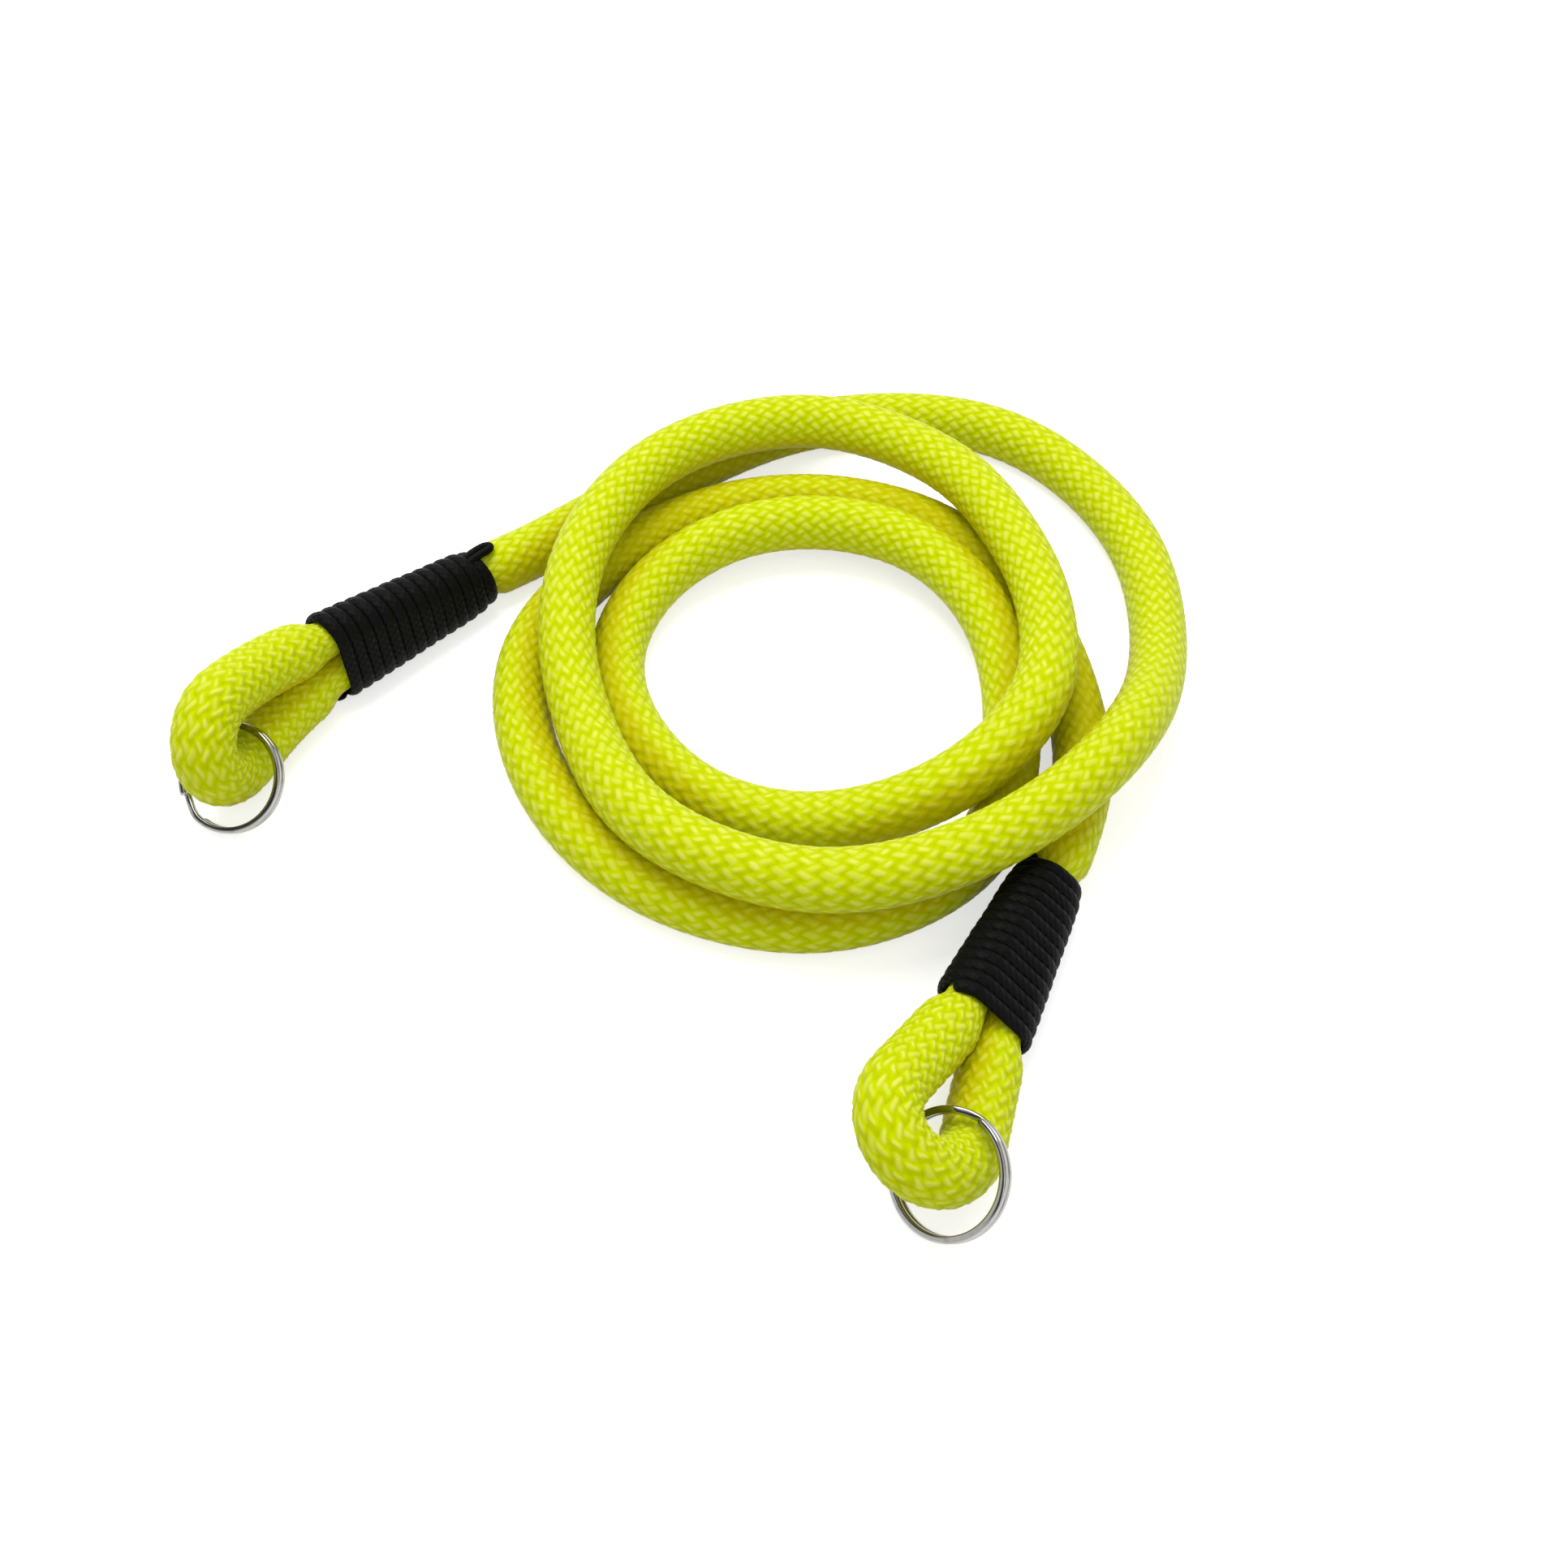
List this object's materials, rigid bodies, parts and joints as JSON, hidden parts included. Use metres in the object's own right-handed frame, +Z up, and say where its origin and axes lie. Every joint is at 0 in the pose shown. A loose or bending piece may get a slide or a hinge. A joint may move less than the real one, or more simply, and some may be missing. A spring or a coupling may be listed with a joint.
{
  "type": "coiled rope strap",
  "caption": "Short braided rope strap laid in loose loops, each end bound back into a tight eye with a small split ring through it.",
  "frame": {"origin": "middle of the footprint, on the surface the strap lies on", "axes": "+Z up, away from the surface the strap lies on; both eyes lie towards -X and -Y; +Y is the longer side of the footprint"},
  "size_m": [0.1874, 0.1965, 0.0259],
  "materials": {
    "sheath": "glossy woven yarn",
    "core": "matte twisted yarn",
    "waxed_cord": "waxed, semi-gloss",
    "spring_wire": "bright nickel plating"
  },
  "bodies": {
    "rope": {"rope_sheath": "sheath", "rope_core": "core", "left_eye_sheath": "sheath", "left_eye_core": "core", "left_binding": "waxed_cord", "right_eye_sheath": "sheath", "right_eye_core": "core", "right_binding": "waxed_cord"},
    "left_ring": {"left_split_ring": "spring_wire"},
    "right_ring": {"right_split_ring": "spring_wire"}
  },
  "joints": [
    {"name": "left_ring_swing", "type": "hinge", "parent": "rope", "child": "left_ring", "pos_m": [-0.08445, -0.0123, 0.007], "axis": [-0.2799, -0.7798, 0.5599], "range_deg": [-45, 20]},
    {"name": "right_ring_swing", "type": "hinge", "parent": "rope", "child": "right_ring", "pos_m": [0.03995, -0.0883, 0.0079], "axis": [-0.6816, -0.5513, 0.4811], "range_deg": [-30, 45]}
  ]
}
